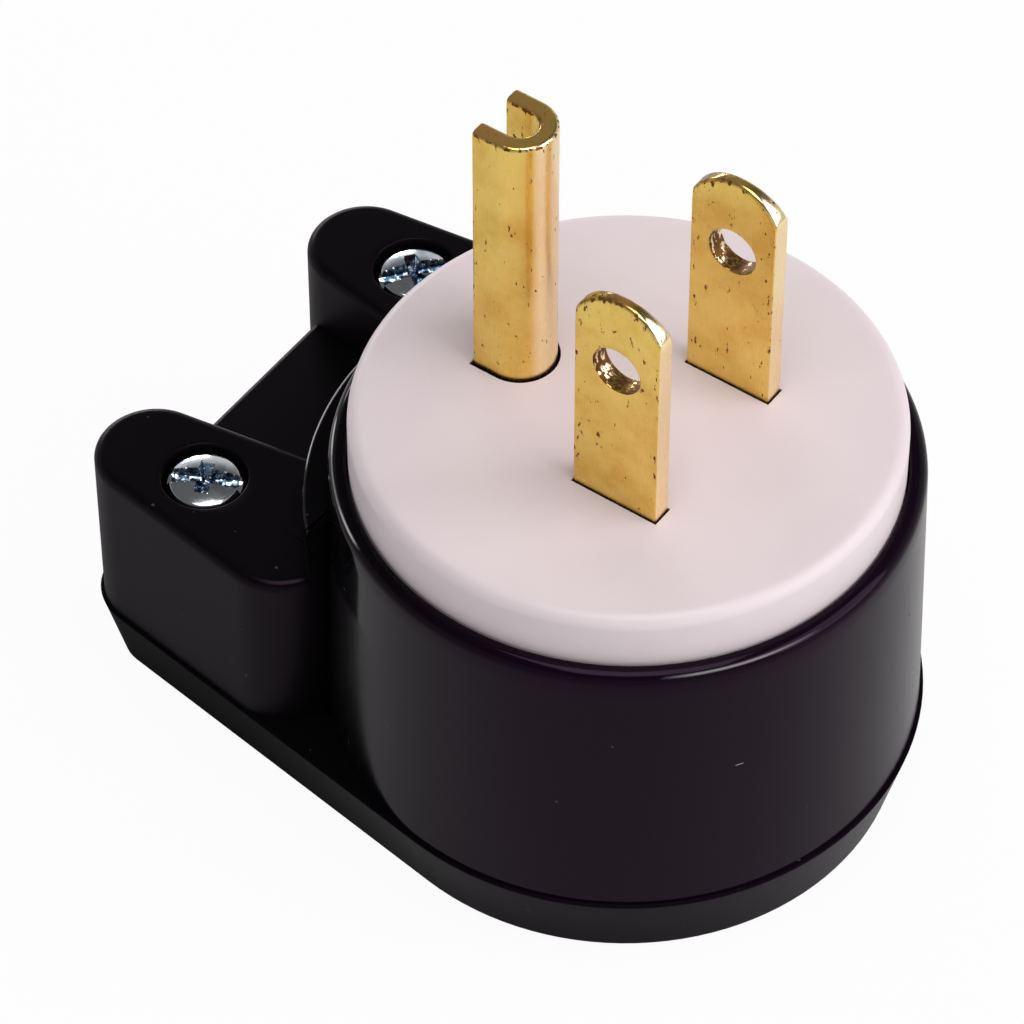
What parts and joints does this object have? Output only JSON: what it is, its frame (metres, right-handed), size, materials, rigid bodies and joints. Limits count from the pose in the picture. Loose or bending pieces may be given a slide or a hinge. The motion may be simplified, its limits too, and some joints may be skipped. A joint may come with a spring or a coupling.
{
  "type": "right-angle grounding plug",
  "caption": "Right-angle grounding plug with a black drop-shaped body, a white round face, straight flat blades, a folded U-shaped ground pin, screw ears and a cord clamp.",
  "frame": {"origin": "on the axis of the round cup, at the flat underside of the back cover", "axes": "+Z out along the blades and the ground pin, -X the way the cord leaves, +Y towards the hot blade"},
  "size_m": [0.0546, 0.0404, 0.0526],
  "materials": {
    "black_shell": "moulded black plastic with a soft gloss",
    "white_face": "moulded off-white plastic, satin",
    "contact_brass": "stamped brass, lightly pitted and scratched",
    "retainer_fibre": "pressed insulating fibre",
    "screw_zinc": "bright zinc-plated steel",
    "terminal_brass": "plain brass",
    "terminal_nickel": "nickel-plated brass",
    "terminal_green": "green-dyed steel"
  },
  "bodies": {
    "root": {"back_cover": "black_shell", "front_housing": "black_shell", "blade_carrier": "white_face", "hot_blade": "contact_brass", "neutral_blade": "contact_brass", "ground_pin": "contact_brass", "contact_retainer": "retainer_fibre", "retainer_screws": "screw_zinc", "hot_wire_clamp": "contact_brass", "neutral_wire_clamp": "contact_brass", "ground_wire_clamp": "contact_brass", "hot_terminal_screw": "terminal_brass", "neutral_terminal_screw": "terminal_nickel", "ground_terminal_screw": "terminal_green", "cover_screws": "screw_zinc", "cover_inserts": "terminal_brass"}
  },
  "joints": []
}
